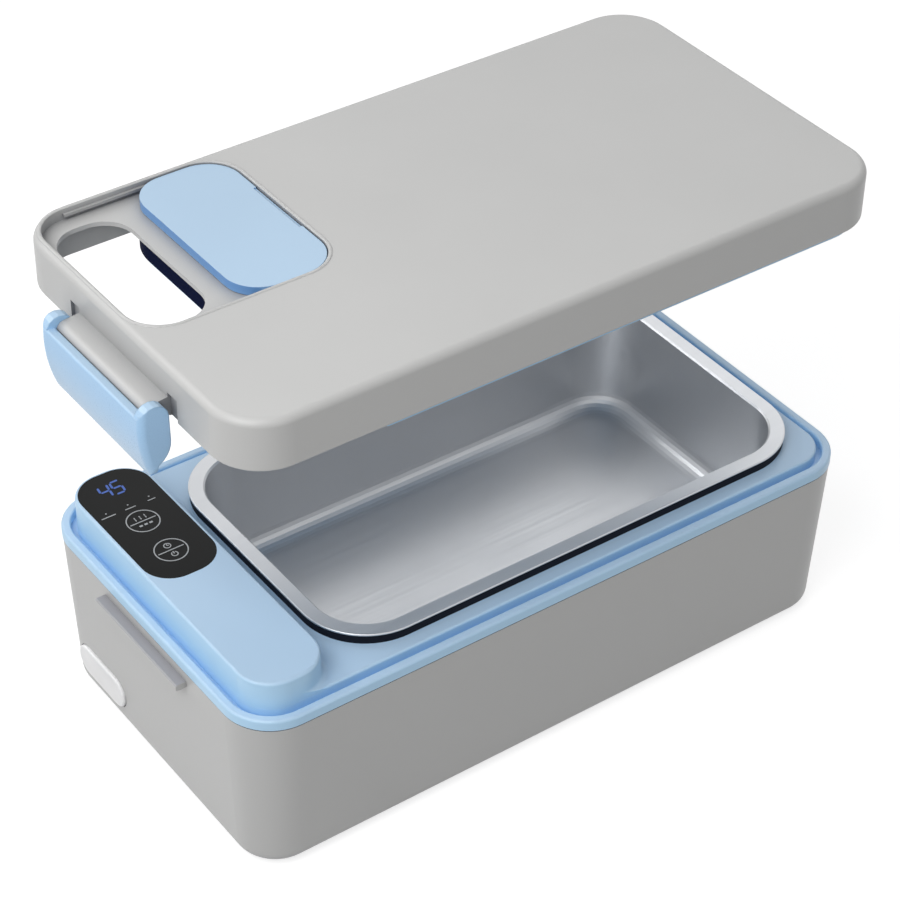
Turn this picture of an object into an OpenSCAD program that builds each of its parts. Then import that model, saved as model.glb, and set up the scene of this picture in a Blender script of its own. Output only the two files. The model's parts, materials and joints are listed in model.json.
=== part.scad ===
/* [Body] */
// Length of the body over the collar
body_l = 250; // [220:1:300]
// Width of the body over the collar
body_w = 135; // [120:1:162]
// Plan corner radius of body, collar and lid
corner_r = 18; // [16:0.5:24]
// Height of the grey shell, bottom face to collar
shell_h = 63.6; // [58:0.2:80]
// How far each side of the shell leans in over its height
shell_lean = 2.9; // [1:0.1:4]
// Wall thickness of the shell and the lid
wall = 2.4; // [2:0.1:3]
// Radius of the shell's bottom edge
bottom_r = 5; // [4:0.5:6]
// Gap under the shell, which the feet fill
foot_gap = 1; // [0.6:0.1:3]
// Radius of a rubber foot
foot_r = 7; // [5:0.5:9]

/* [Collar and deck] */
// Height of the collar's outer lip
lip_h = 4.4; // [4.4:0.1:6]
// Width of the lip's top
lip_w = 3.2; // [2.8:0.1:4]
// Width of the groove that takes the lid's tongue
groove_w = 2.2; // [2:0.1:3]
// Depth of that groove below the lip
groove_d = 3.5; // [2.4:0.1:3.6]
// Height of the deck above the lip
deck_rise = 1; // [0.6:0.1:1.4]
// Thickness of the deck
deck_t = 2.4; // [2:0.1:3]

/* [Control block] */
// Length of the raised block along the body
block_l = 29.1; // [27:0.1:34]
// Height of the block above the deck
block_h = 10; // [9:0.1:11.4]
// Radius of the hollow fillet at the foot of the block
block_foot_r = 2.4; // [1:0.1:2.6]
// Width of the display window across the block
window_w = 26.8; // [24:0.1:27]
// Length of the display window
window_l = 61.8; // [54:0.1:70]
// Thickness of the display window
window_t = 1.2; // [1:0.1:1.6]
// Radius of a touch key
key_r = 5.85; // [5:0.05:7]

/* [Food tray and well] */
// Length of the tray over its flange
tray_l = 199.6; // [170:0.2:205]
// Width of the tray over its flange
tray_w = 114; // [96:0.5:117]
// Plan corner radius of the flange
tray_r = 25; // [22:0.5:28]
// Depth of the tray from flange to bottom
tray_h = 43.8; // [36:0.2:46]
// Width of the flat flange
flange_w = 5.2; // [4.6:0.1:6]
// Thickness of the tray's steel sheet
sheet = 0.6; // [0.5:0.05:0.9]
// Distance from the deck up to the flange
flange_float = 3.6; // [2.6:0.1:3.6]
// Thickness of the well's aluminium sheet
well_t = 1.2; // [0.8:0.1:1.6]

/* [Lid] */
// Height of the lid
lid_h = 18.4; // [17.6:0.1:22]
// Radius of the lid's top edge
lid_edge_r = 2.6; // [1.6:0.1:3]
// How far the lid is held above its seat
lid_lift = 100; // [80:1:120]
// Length of the shutter along the lid
shutter_l = 35.4; // [32:0.1:36]
// Width of the shutter across the lid
shutter_w = 72.7; // [66:0.1:73]
// Thickness of the shutter
shutter_t = 3.2; // [2.6:0.1:3.4]
// Radius of the shutter's corners
shutter_r = 12.5; // [10:0.1:13]

/* [Latches] */
// Width of a latch over its ears
latch_w = 60; // [50:1:70]
// Thickness of an ear
ear_t = 3.6; // [3:0.1:5]
// Radius of the hinge pin
pin_r = 1.2; // [1:0.05:1.5]
// Angle at which the open latch hangs from its closed place
latch_open = 8; // [8:0.5:14]
// How far the catch ridge stands out of the collar line
ridge_out = 3.6; // [3:0.1:3.8]
// Thickness of the catch ridge
ridge_t = 2.4; // [2:0.1:3]

/* [Charging port] */
// Width of the rubber cover
port_w = 30; // [26:0.5:34]
// Height of the rubber cover
port_h = 12.5; // [12:0.5:18]
// Place of the port across the body
port_y = 36.6; // [20:0.5:40]
// Place of the port above the ground
port_z = 14.8; // [14.8:0.2:22]

/* [Battery] */
// Radius of a cell
cell_r = 9.2; // [9:0.1:9.4]
// Length of a cell
cell_l = 65; // [60:1:70]

/* [Hidden] */
$fn = 96;

// Clearances
fit = 0.3;          // between parts that drop into each other
turn_fit = 0.05;    // pin in its bore, on the radius
cut = 1;            // how far a cutter runs past a face
arc_steps = 8;

// Levels
shell_z0 = foot_gap;
collar_z0 = shell_z0 + shell_h;
lip_z = collar_z0 + lip_h;              // the lid's seat
deck_z = lip_z + deck_rise;
block_z = deck_z + block_h;
flange_z = deck_z + flange_float + sheet;
tray_z0 = flange_z - tray_h;            // underside of the tray
lid_z0 = lip_z + lid_lift;              // skirt's lower edge, lid raised

// Plan
inner_w = lip_w + groove_w;             // collar line to deck edge
deck_l = body_l - 2 * inner_w;
deck_w = body_w - 2 * inner_w;
deck_r = corner_r - inner_w;
block_x0 = -deck_l / 2;
block_x = block_x0 + block_l / 2;
tray_gap = 3.8;                         // flange to the deck's right edge
tray_x = deck_l / 2 - tray_gap - tray_l / 2;
lean = atan(shell_lean / shell_h);

// Bottom cover
cover_t = 2.4;
floor_t = 1.8;
cover_l = body_l - 30;
cover_w = body_w - 31;
cover_r = 8;
floor_z = shell_z0 + cover_t;           // where the cover seats
floor_top = floor_z + floor_t;
boss_r = 3.6;
boss_h = 7.5;
screw_r = 1.5;
screw_x = [-(cover_l / 2 - 7), 0, cover_l / 2 - 7];
screw_y = cover_w / 2 - 7;
foot_x = cover_l / 2 - 22;
foot_y = cover_w / 2 - 12;
foot_pocket = 1.2;

// Well
well_gap = 1.2;                         // flange edge to the deck opening
curl_r = 0.5;                           // curled edge of the tray's flange
well_r = tray_r - 2.4;                  // inner wall from the corner line
well_lean = 0.8;
well_bottom_r = 7;
plate_t = 1.6;
well_floor = tray_z0 - plate_t;
well_flange = 3;
well_flange_z = deck_z - deck_t - well_t;
film_t = 0.4;
jacket_t = 3.4;
jacket_gap = 0.4;
small_head_r = 1.9;
small_head_h = 1.5;
small_r = 1.1;
well_tab_r = 2.6;
well_screw_x = [-70, 0, 70];
well_screw_y = tray_w / 2 - tray_r + well_r + well_t + small_head_r + 0.2;

// Window and board
window_x = block_x;
window_y = deck_w / 2 - 1.1 - window_l / 2;
window_r = 11;
sill = 2;                               // ledge that the window is bonded to
board_t = 1.6;
board_z = block_z - deck_t - 2.4 - board_t;
board_w = window_w - 5.2;
board_l = window_l - 3.2;
board_r = 9.9;
sill_end = 6.5;                         // wider ledge at its ends, over the posts
post_r = 2;
post_y = [for (side = [-1, 1]) window_y + side * (window_l / 2 - sill_end + post_r + 0.2)];
key_y = [window_y - 16.9, window_y + 1.2];
digits_y = window_y + 20.9;

// Lid
lid_top = lid_z0 + lid_h;
liner_in = 3.4;                         // collar line to the liner's wall
liner_t = 1.6;
tongue_h = groove_d - fit;
liner_x0 = block_x0 + block_l + 1.1;
liner_left_r = 20;
liner_top = 11.2;                       // ceiling, above the skirt edge
liner_step = 1.6;                       // lower edge of the end wall
seal_t = 0.6;
seal_z = liner_step + 1;                // lower edge of the seal strip
seal_l = 15;
tongue_x0 = -body_l / 2 + 53;
gasket_x = [tray_r - 4, tray_r - 1];    // ring over the tray's flange
gasket_z = flange_z - lip_z + 0.2;
rib_t = 1.2;
recess_floor = lid_h - 3.8;
recess_t = 1.6;
recess_side = 2;                        // wall round the recess, under the lid's top
recess_l = 2 * shutter_l + 0.6;
recess_w = shutter_w + 0.8;
recess_r = shutter_r + 0.5;
recess_x = -body_l / 2 + wall + 0.8 + recess_l / 2;
recess_y = body_w / 2 - wall - 0.9 - recess_w / 2;
bead_r = 0.8;                           // raised bead along the recess's upper edge
bead_h = 0.35;
shutter_x = recess_x + recess_l / 2 - shutter_l / 2 - 0.4;
rail_out = 1;                           // rails on the side walls, in the shutter's grooves
rail_h = 1;
rail_z = recess_floor + 1.3;
rail_l = recess_l - 2 * recess_r;
notch_l = 27;                           // finger notch in the shutter's edge
notch_w = 1.1;
notch_d = 0.5;
hole_l = 25.8;
hole_w = 62.6;
hole_r = 11;
hole_x = recess_x - recess_l / 2 + 2.4 + hole_l / 2;
hole_y = recess_y + recess_w / 2 - 6.6 - hole_w / 2;
liner_screw_x = [-42, 25, 95];
liner_screw_y = body_w / 2 - liner_in - liner_t - small_head_r - 0.5;

// Latch, seen along the hinge: u runs out of the lid, w runs up, pivot at 0
pivot_out = 5.2;                        // collar line to the pivot
pivot_up = 3.4;                         // skirt edge to the pivot
knuckle_r = 3.2;
knuckle_w = latch_w - 2 * ear_t - 0.4;
ear_r = 5;
ear_top = [1.73, -0.22];                // centre of the ear's round top
heel_r = 8.5;                           // round back of the ear
latch_back = 0.4 - pivot_out;           // back of the ears, just off the wall
heel = [latch_back + heel_r, -10];
ear_bore = 2.4;                         // depth of the pin's hole in an ear
pocket_d = 1.2;                         // pockets in the lid's wall behind the ears
pocket_h = 8.8;
latch_sweep_r = 50;
latch_sweep = [-43.16, 3.05];
latch_drop = 21.5;
latch_side_r = 2.4;
latch_low_r = 4;
ridge_top = lip_z - 8.2;
ridge_low = ridge_top - ridge_t;
hook_top = ridge_low - 0.4 - lip_z - pivot_up;
plate_back = ridge_out + 0.5 - pivot_out;
plate_top = 0.8;
plate_top_r = 0.8;
nib_back = ridge_out - 1.7 - pivot_out; // how far the nib reaches under the ridge

// Battery and boards
cell_gap = 0.4;
control_z = 10;
control_l = 44;
control_w = 56;
film_l = tray_l - 60;
film_x = tray_x - film_l / 2 + 2.8;     // the film's lead
control_x = film_x - 21;
control_y = key_y[0] - 19.2;
lead_y = control_y + 18;                // leads up to the display and the heater
pack_x = control_x + control_l / 2 + 4.6 + cell_l + cell_gap;
pack_z = floor_z + cell_gap + cell_r;
socket_l = 11;
port_seat = 1.2;                        // depth of the cover's seat in the wall
port_out = 1.1;                         // how far the cover stands out
port_edge_r = 0.7;
port_r = port_h / 2 - 0.3;

socket_x = -body_l / 2 + corner_r - shell_x(port_z) + wall + 1.2;

function arc(cx, cy, r, a0, a1) =
    [for (i = [0:arc_steps]) let (a = a0 + (a1 - a0) * i / arc_steps) [cx + r * cos(a), cy + r * sin(a)]];

// x of the shell's outer face at height z, from the corner line
function shell_x(z) = corner_r - 0.2 - (collar_z0 - z) * tan(lean);

module rrect(l, w, r) {
    square([l, w - 2 * r], center = true);
    square([l - 2 * r, w], center = true);
    for (x = [-1, 1], y = [-1, 1])
        translate([x * (l / 2 - r), y * (w / 2 - r)])
            circle(r);
}

module plate(l, w, r, h) {
    linear_extrude(h)
        rrect(l, w, r);
}

// Carries a profile round a rounded rectangle. Its x runs out of the line
// through the corner centres, its y runs up.
module carry_round(l, w, r) {
    for (i = [0:3]) {
        along = i % 2 == 0 ? w : l;
        across = i % 2 == 0 ? l : w;
        rotate([0, 0, 90 * i])
            translate([across / 2 - r, along / 2 - r, 0]) {
                rotate([90, 0, 0])
                    linear_extrude(along - 2 * r)
                        children();
                rotate_extrude(angle = 90)
                    children();
            }
    }
}

module screw(head_r, head_h, shank_r, shank_l) {
    difference() {
        cylinder(r = head_r, h = head_h);
        translate([0, 0, -cut])
            cylinder(r = head_r * 0.4, h = cut + head_h * 0.5, $fn = 6);
    }
    translate([0, 0, head_h])
        cylinder(r = shank_r, h = shank_l);
}

module wire(points, r) {
    for (i = [0:len(points) - 2]) {
        a = points[i];
        b = points[i + 1];
        d = b - a;
        translate(a)
            rotate([0, acos(d[2] / norm(d)), atan2(d[1], d[0])])
                cylinder(r = r, h = norm(d), $fn = 24);
        if (i > 0)
            translate(a)
                sphere(r * 1.15, $fn = 24);
    }
}

module at_tray() {
    translate([tray_x, 0, 0])
        children();
}

// Places children at each end of the body, with x running out of it
module at_end(side) {
    rotate([0, 0, side < 0 ? 180 : 0])
        translate([body_l / 2, 0, 0])
            children();
}

// Base

module shell_profile() {
    bend_z = shell_z0 + bottom_r * (1 - sin(lean));
    bend_x = shell_x(bend_z) - bottom_r * cos(lean);
    bend_cz = shell_z0 + bottom_r;
    polygon(concat(
        [[shell_x(collar_z0), collar_z0]],
        arc(bend_x, bend_cz, bottom_r, -lean, -90),
        [[0, shell_z0], [0, floor_top]],
        arc(bend_x, bend_cz + floor_top - shell_z0 - wall, bottom_r - wall, -90, -lean),
        [[shell_x(collar_z0) - wall, collar_z0]]
    ));
}

// On the end wall at the port, x along its width and z into the wall
module at_port() {
    translate([-body_l / 2 + corner_r - shell_x(port_z), port_y, port_z])
        rotate([0, 90 - lean, 0])
            rotate(90)
                children();
}

// The port's outline, a margin smaller or larger
module port_shape(margin, depth, back) {
    at_port()
        translate([0, 0, -back])
            plate(port_w + 2 * margin, port_h + 2 * margin, port_r + margin, depth);
}

module catch_ridge() {
    root = corner_r - shell_x(ridge_low) + 1;
    bevel = 0.5;
    translate([0, knuckle_w / 2 - 0.3, 0])
        rotate([90, 0, 0])
            linear_extrude(knuckle_w - 0.6)
                polygon([
                    [-root, ridge_low], [ridge_out - bevel, ridge_low], [ridge_out, ridge_low + bevel],
                    [ridge_out, ridge_top - bevel], [ridge_out - bevel, ridge_top], [-root, ridge_top]
                ]);
}

module base_shell() {
    color([0.72, 0.72, 0.72])
        difference() {
            union() {
                carry_round(body_l, body_w, corner_r)
                    shell_profile();
                translate([0, 0, shell_z0])
                    linear_extrude(floor_top - shell_z0)
                        square([body_l - 2 * corner_r, body_w - 2 * corner_r], center = true);
                for (side = [-1, 1])
                    at_end(side)
                        catch_ridge();
                for (x = screw_x, y = [-1, 1])
                    translate([x, y * screw_y, floor_z])
                        cylinder(r = boss_r, h = boss_h);
            }
            translate([0, 0, shell_z0 - cut])
                plate(cover_l + 2 * fit, cover_w + 2 * fit, cover_r, cut + cover_t);
            translate([0, 0, shell_z0])
                plate(cover_l - 30, cover_w - 30, cover_r, cover_t + floor_t + cut);
            for (x = screw_x, y = [-1, 1])
                translate([x, y * screw_y, floor_z - cut])
                    cylinder(r = screw_r + turn_fit, h = cut + 6.5);
            port_shape(fit, cut + port_seat, cut);
            port_shape(-2.6, 3 * wall, cut);
        }
}

module bottom_cover() {
    color([0.6, 0.6, 0.61])
        difference() {
            union() {
                translate([0, 0, shell_z0])
                    plate(cover_l, cover_w, cover_r - fit, cover_t);
                for (x = [-1, 1], y = [-1, 1])
                    translate([control_x + x * (control_l / 2 - 4), control_y + y * (control_w / 2 - 4), floor_z])
                        cylinder(r = 2.6, h = control_z - floor_z);
            }
            for (x = screw_x, y = [-1, 1])
                translate([x, y * screw_y, shell_z0 - cut]) {
                    cylinder(r = 3.2, h = cut + 1.4);
                    cylinder(r = screw_r + turn_fit, h = 2 * cut + cover_t);
                }
            for (x = [-1, 1], y = [-1, 1])
                translate([x * foot_x, y * foot_y, shell_z0 - cut])
                    cylinder(r = foot_r + turn_fit, h = cut + foot_pocket);
        }
}

module rubber_feet() {
    dome = 0.5;
    color([0.16, 0.16, 0.17])
        for (x = [-1, 1], y = [-1, 1])
            translate([x * foot_x, y * foot_y, 0])
                rotate_extrude()
                    polygon(concat(
                        [[0, foot_gap + foot_pocket], [0, 0]],
                        arc(foot_r - dome, dome, dome, -90, 0),
                        [[foot_r, foot_gap + foot_pocket]]
                    ));
}

module bottom_screws() {
    color([0.7, 0.71, 0.73])
        for (x = screw_x, y = [-1, 1])
            translate([x, y * screw_y, shell_z0])
                screw(2.9, 1.4, screw_r, 7);
}

// Deck

module collar_profile() {
    lip_in = corner_r - lip_w;
    spigot = shell_x(collar_z0 - 5) - wall - fit;
    top_r = 1;
    edge_r = 0.8;
    seat = spigot - 1.8;
    polygon(concat(
        [[corner_r - 0.5, collar_z0], [corner_r, collar_z0 + 0.5]],
        arc(corner_r - top_r, lip_z - top_r, top_r, 0, 90),
        arc(lip_in + edge_r, lip_z - edge_r, edge_r, 90, 180),
        [[lip_in, lip_z - groove_d], [deck_r, lip_z - groove_d]],
        arc(deck_r - edge_r, deck_z - edge_r, edge_r, 0, 90),
        [[deck_r - 3.6, deck_z], [deck_r - 3.6, deck_z - deck_t]],
        [[deck_r - 1.6, deck_z - deck_t], [deck_r - 1.6, collar_z0]],
        [[seat, collar_z0], [seat, collar_z0 - 5], [spigot, collar_z0 - 5], [spigot, collar_z0]]
    ));
}

module block_profile(r) {
    edge_r = 1;
    polygon(concat(
        [[0, deck_z - 0.5], [r, deck_z - 0.5]],
        arc(r - edge_r, block_z - edge_r, edge_r, 0, 90),
        [[0, block_z]]
    ));
}

module block_foot_profile(r) {
    polygon(concat(
        [[r - 0.5, deck_z - 0.5], [r - 0.5, deck_z + block_foot_r]],
        arc(r + block_foot_r, deck_z + block_foot_r, block_foot_r, 180, 270),
        [[r + block_foot_r, deck_z - 0.5]]
    ));
}

module deck_frame() {
    hollow_l = block_l - 2 * deck_t;
    hollow_w = deck_w - 2 * deck_t;
    color([0.68, 0.81, 0.92])
        difference() {
            union() {
                carry_round(body_l, body_w, corner_r)
                    collar_profile();
                translate([0, 0, deck_z - deck_t])
                    plate(deck_l - 2, deck_w - 2, deck_r - 1, deck_t);
                translate([block_x, 0, 0]) {
                    carry_round(block_l, deck_w, deck_r)
                        block_profile(deck_r);
                    translate([0, 0, deck_z - 0.5])
                        linear_extrude(block_h + 0.5)
                            square([block_l - 2 * deck_r + 0.01, deck_w - 2 * deck_r], center = true);
                }
                intersection() {
                    translate([block_x, 0, 0])
                        carry_round(block_l, deck_w, deck_r)
                            block_foot_profile(deck_r);
                    translate([0, 0, deck_z - 1])
                        plate(deck_l, deck_w, deck_r, block_h);
                }
            }
            at_tray()
                translate([0, 0, deck_z - deck_t - cut])
                    plate(tray_l - 2 * well_gap, tray_w - 2 * well_gap, tray_r - well_gap, deck_t + 2 * cut);
            difference() {
                translate([block_x, 0, deck_z - deck_t - cut])
                    plate(hollow_l, hollow_w, deck_r - deck_t, cut + block_h);
                for (y = post_y)
                    translate([window_x, y, board_z + board_t])
                        cylinder(r = post_r, h = block_h);
            }
            translate([window_x, window_y, block_z - window_t])
                plate(window_w, window_l, window_r, window_t + cut);
            translate([window_x, window_y, block_z - deck_t - cut])
                plate(window_w - 2 * sill, window_l - 2 * sill_end, 4, deck_t + 2 * cut);
            for (y = post_y)
                translate([block_x, y, board_z])
                    cylinder(r = small_r + turn_fit, h = board_t + 2.6);
            for (x = well_screw_x, y = [-1, 1])
                translate([tray_x + x, y * well_screw_y, deck_z - deck_t - cut])
                    cylinder(r = small_r + turn_fit, h = cut + 1.7);
        }
}

module display_window() {
    color([0.2, 0.2, 0.2])
        translate([window_x, window_y, block_z - window_t])
            plate(window_w - 0.1, window_l - 0.1, window_r - 0.05, window_t);
}

module display_board() {
    under = block_z - window_t - 0.2;
    color([0.1, 0.35, 0.2])
        difference() {
            translate([window_x, window_y, board_z])
                plate(board_w, board_l, board_r, board_t);
            for (y = post_y)
                translate([window_x, y, board_z - cut])
                    cylinder(r = small_r + turn_fit, h = board_t + 2 * cut);
        }
    color([0.1, 0.1, 0.1])
        translate([window_x - 7, digits_y - 5, board_z + board_t])
            cube([14, 8.2, under - board_z - board_t]);
    color([0.8, 0.7, 0.4])
        for (y = key_y)
            translate([window_x, y, board_z + board_t])
                difference() {
                    cylinder(r = key_r, h = under - board_z - board_t);
                    translate([0, 0, -cut])
                        cylinder(r = key_r - 1, h = under);
                }
}

module board_screws() {
    color([0.7, 0.71, 0.73])
        for (y = post_y)
            translate([window_x, y, board_z - small_head_h])
                screw(small_head_r, small_head_h, small_r, board_t + 2);
}

// Heating

module well_profile() {
    foot_x = well_r - well_lean - well_bottom_r;
    out_r = well_bottom_r + well_t;
    bend_z = well_floor + well_bottom_r;
    polygon(concat(
        [[0, well_floor], [0, well_floor - well_t]],
        arc(foot_x, bend_z, out_r, -90, 0),
        [[well_r + well_t, well_flange_z]],
        [[well_r + well_t + well_flange, well_flange_z]],
        [[well_r + well_t + well_flange, well_flange_z + well_t]],
        [[well_r, well_flange_z + well_t]],
        arc(foot_x, bend_z, well_bottom_r, 0, -90)
    ));
}

module heating_well() {
    color([0.5, 0.51, 0.53])
        at_tray()
            difference() {
                union() {
                    carry_round(tray_l, tray_w, tray_r)
                        well_profile();
                    translate([0, 0, well_floor - well_t])
                        linear_extrude(well_t)
                            square([tray_l - 2 * tray_r, tray_w - 2 * tray_r], center = true);
                    for (x = well_screw_x, y = [-1, 1])
                        translate([x, y * well_screw_y, well_flange_z])
                            cylinder(r = well_tab_r, h = well_t);
                }
                for (x = well_screw_x, y = [-1, 1])
                    translate([x, y * well_screw_y, well_flange_z - cut])
                        cylinder(r = small_r + turn_fit, h = well_t + 2 * cut);
            }
}

// Ring on the deck that the tray's flange seats on
module tray_seal() {
    edge = tray_r - 0.4;
    step_x = tray_r - 2 * curl_r - fit;
    color([0.06, 0.06, 0.07])
        at_tray()
            carry_round(tray_l, tray_w, tray_r)
                polygon([
                    [edge - 2.2, deck_z], [edge, deck_z], [edge, flange_z - 2 * curl_r - fit],
                    [step_x, flange_z - 2 * curl_r - fit], [step_x, flange_z - sheet], [edge - 2.2, flange_z - sheet]
                ]);
}

module well_screws() {
    color([0.7, 0.71, 0.73])
        for (x = well_screw_x, y = [-1, 1])
            translate([tray_x + x, y * well_screw_y, well_flange_z - small_head_h])
                screw(small_head_r, small_head_h, small_r, well_t + 1.6);
}

module heat_plate() {
    inset = 2 * (tray_r - well_r + well_lean + well_bottom_r + 1);
    color([0.75, 0.76, 0.78])
        at_tray()
            translate([0, 0, well_floor])
                plate(tray_l - inset, tray_w - inset, 12, plate_t);
}

module heater_film() {
    strips = 7;
    pitch = 12;
    film_w = 8;
    color([0.75, 0.45, 0.12])
        at_tray()
            translate([0, 0, well_floor - well_t - film_t])
                linear_extrude(film_t) {
                    for (i = [0:strips - 1])
                        translate([0, (i - (strips - 1) / 2) * pitch])
                            square([film_l, film_w], center = true);
                    for (i = [0:strips - 2])
                        translate([(i % 2 == 0 ? 1 : -1) * (film_l - film_w) / 2, (i - (strips - 2) / 2) * pitch])
                            square([film_w, pitch], center = true);
                }
}

module temperature_sensor() {
    color([0.85, 0.84, 0.8])
        translate([tray_x - tray_l / 2 + 16, 0, well_floor - well_t - 3])
            cylinder(r = 3, h = 3);
}

module thermal_fuse() {
    color([0.8, 0.72, 0.5])
        translate([tray_x - tray_l / 2 + 14, 22, well_floor - well_t - 3.2])
            rotate([0, 90, 0])
                translate([-1.6, 0, 0])
                    cylinder(r = 1.6, h = 11);
}

module jacket_profile() {
    x0 = well_r + well_t + jacket_gap;
    bend = well_bottom_r + well_t;
    low = well_floor - well_t - 4;
    polygon(concat(
        [[x0, well_flange_z - 3], [x0, low + bend]],
        [[x0, low], [x0 + jacket_t, low], [x0 + jacket_t, well_flange_z - 3]]
    ));
}

module insulation_jacket() {
    color([0.88, 0.87, 0.84])
        at_tray()
            carry_round(tray_l, tray_w, tray_r)
                jacket_profile();
}

// Battery and electronics

module each_cell() {
    for (col = [-1, 1], row = [-1, 0, 1])
        translate([pack_x + col * (cell_l + cell_gap) / 2 - cell_l / 2, row * (2 * cell_r + cell_gap), pack_z])
            rotate([0, 90, 0])
                children();
}

module battery_cells() {
    color([0.2, 0.45, 0.7])
        each_cell() {
            cylinder(r = cell_r, h = cell_l - 1.5);
            cylinder(r = 3, h = cell_l);
        }
}

module battery_holder() {
    rib_t = 4;
    rib_w = 6 * cell_r + 4 * cell_gap + 5;
    color([0.15, 0.15, 0.16])
        difference() {
            union() {
                for (x = [-1, 0, 1])
                    translate([pack_x + x * (cell_l - 10) - rib_t / 2, -rib_w / 2, floor_z])
                        cube([rib_t, rib_w, cell_r + 3]);
                for (y = [-1, 1])
                    translate([pack_x - cell_l + 8, y * (rib_w / 2 - 1) - 1, floor_z])
                        cube([2 * cell_l - 16, 2, 6]);
            }
            for (row = [-1, 0, 1])
                translate([pack_x - cell_l - cut, row * (2 * cell_r + cell_gap), pack_z])
                    rotate([0, 90, 0])
                        cylinder(r = cell_r + 0.1, h = 2 * (cell_l + cut));
        }
}

module control_board() {
    top = control_z + board_t;
    color([0.1, 0.35, 0.2])
        translate([control_x, control_y, control_z])
            plate(control_l, control_w, 2, board_t);
    color([0.15, 0.15, 0.15]) {
        translate([control_x - 14, control_y - 20, top])
            cube([12, 12, 8]);
        translate([control_x + 4, control_y + 4, top])
            cube([10, 8, 2]);
        for (i = [0:2])
            translate([control_x - 12 + 12 * i, control_y + 22, top])
                cylinder(r = 4, h = 9);
    }
}

module charge_socket() {
    color([0.12, 0.12, 0.13])
        translate([socket_x, port_y, port_z])
            rotate([0, 90, 0])
                difference() {
                    linear_extrude(socket_l)
                        rotate(90)
                            rrect(port_w - 4, port_h - 4, 2);
                    translate([0, 0, -cut])
                        linear_extrude(cut + 5.5)
                            rotate(90)
                                rrect(port_w - 9, port_h - 7.4, port_h / 2 - 4.2);
                }
}

module wire_harness() {
    r = 0.8;
    board_top = control_z + board_t;
    pack_end = pack_x - cell_l - cell_gap;
    film_z = well_floor - well_t - film_t;
    rear = control_x - control_l / 2;
    charge_y = control_y + 25;
    for (lead = [[control_y - 8, [0.75, 0.1, 0.1]], [control_y - 18, [0.1, 0.1, 0.1]]])
        color(lead[1])
            wire([
                [pack_end - 0.4, lead[0], pack_z], [pack_end - 3, lead[0], pack_z],
                [pack_end - 3, lead[0], board_top + 5],
                [pack_end - 6, lead[0], board_top + 5], [pack_end - 6, lead[0], board_top]
            ], r);
    color([0.9, 0.9, 0.9]) {
        wire([
            [rear + 3, lead_y, board_top], [rear + 3, lead_y, 32],
            [block_x + 4, lead_y, 32], [block_x + 4, lead_y, board_z]
        ], r);
        wire([
            [control_x + 18, lead_y, board_top], [control_x + 18, lead_y, film_z - 4],
            [film_x, lead_y, film_z - 4], [film_x, lead_y, film_z]
        ], r);
        wire([
            [socket_x + socket_l, port_y - 6, port_z], [rear + 3, port_y - 6, port_z],
            [rear + 3, charge_y, port_z], [rear + 3, charge_y, board_top]
        ], r);
    }
}

module port_cover() {
    plug = port_seat + 1.6;
    color([0.93, 0.93, 0.93])
        difference() {
            union() {
                at_port()
                    carry_round(port_w, port_h, port_r)
                        polygon(concat(
                            [[0, port_seat], [0, -port_out]],
                            arc(port_r - port_edge_r, port_edge_r - port_out, port_edge_r, -90, 0),
                            [[port_r, port_seat]]
                        ));
                port_shape(-2.9, port_out + plug, port_out);
            }
            port_shape(-4.6, plug, -port_seat);
        }
}

// Tray

module tray_profile() {
    inner = tray_r - flange_w;
    draft = 2.6;
    bend_r = 8;
    bend_x = inner - draft - bend_r;
    curl_start = asin((sheet - curl_r) / curl_r);
    polygon(concat(
        [[0, tray_z0 + sheet], [0, tray_z0]],
        arc(bend_x, tray_z0 + bend_r, bend_r, -90, 0),
        [[inner, flange_z - sheet]],
        arc(tray_r - curl_r, flange_z - curl_r, curl_r, -180 + curl_start, -90),
        arc(tray_r - curl_r, flange_z - curl_r, curl_r, -90, 0),
        arc(tray_r - curl_r, flange_z - curl_r, curl_r, 0, 90),
        [[inner, flange_z], [inner - sheet, flange_z - sheet]],
        arc(bend_x, tray_z0 + bend_r, bend_r - sheet, 0, -90)
    ));
}

module food_tray() {
    color([0.78, 0.77, 0.75])
        at_tray() {
            carry_round(tray_l, tray_w, tray_r)
                tray_profile();
            translate([0, 0, tray_z0])
                linear_extrude(sheet)
                    square([tray_l - 2 * tray_r, tray_w - 2 * tray_r], center = true);
        }
}

// Lid

module at_lid() {
    translate([0, 0, lid_z0])
        children();
}

module lid_profile() {
    skirt_r = 0.9;
    polygon(concat(
        [[corner_r - wall, 0], [corner_r - skirt_r, 0]],
        arc(corner_r - skirt_r, skirt_r, skirt_r, -90, 0),
        arc(corner_r - lid_edge_r, lid_h - lid_edge_r, lid_edge_r, 0, 90),
        [[0, lid_h], [0, lid_h - wall], [corner_r - wall, lid_h - wall]]
    ));
}

module knuckle() {
    top_join = 7.1;
    low_join = 0.2;
    translate([0, knuckle_w / 2, 0])
        rotate([90, 0, 0])
            linear_extrude(knuckle_w)
                difference() {
                    union() {
                        translate([pivot_out, pivot_up])
                            circle(knuckle_r);
                        polygon([
                            [-1, low_join + 0.8], [0, low_join], [pivot_out, low_join],
                            [pivot_out + 0.3, pivot_up + knuckle_r - 0.02], [0, top_join], [-1, top_join]
                        ]);
                    }
                    translate([pivot_out, pivot_up])
                        circle(pin_r + turn_fit / 2);
                }
}

// What is cut out for the shutter: a pocket with a rail left on each side wall
module recess_space() {
    translate([recess_x, recess_y, 0])
        difference() {
            translate([0, 0, recess_floor])
                plate(recess_l, recess_w, recess_r, lid_h);
            for (side = [-1, 1])
                translate([0, side * recess_w / 2, rail_z + rail_h / 2])
                    cube([rail_l, 2 * rail_out, rail_h], center = true);
        }
}

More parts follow.
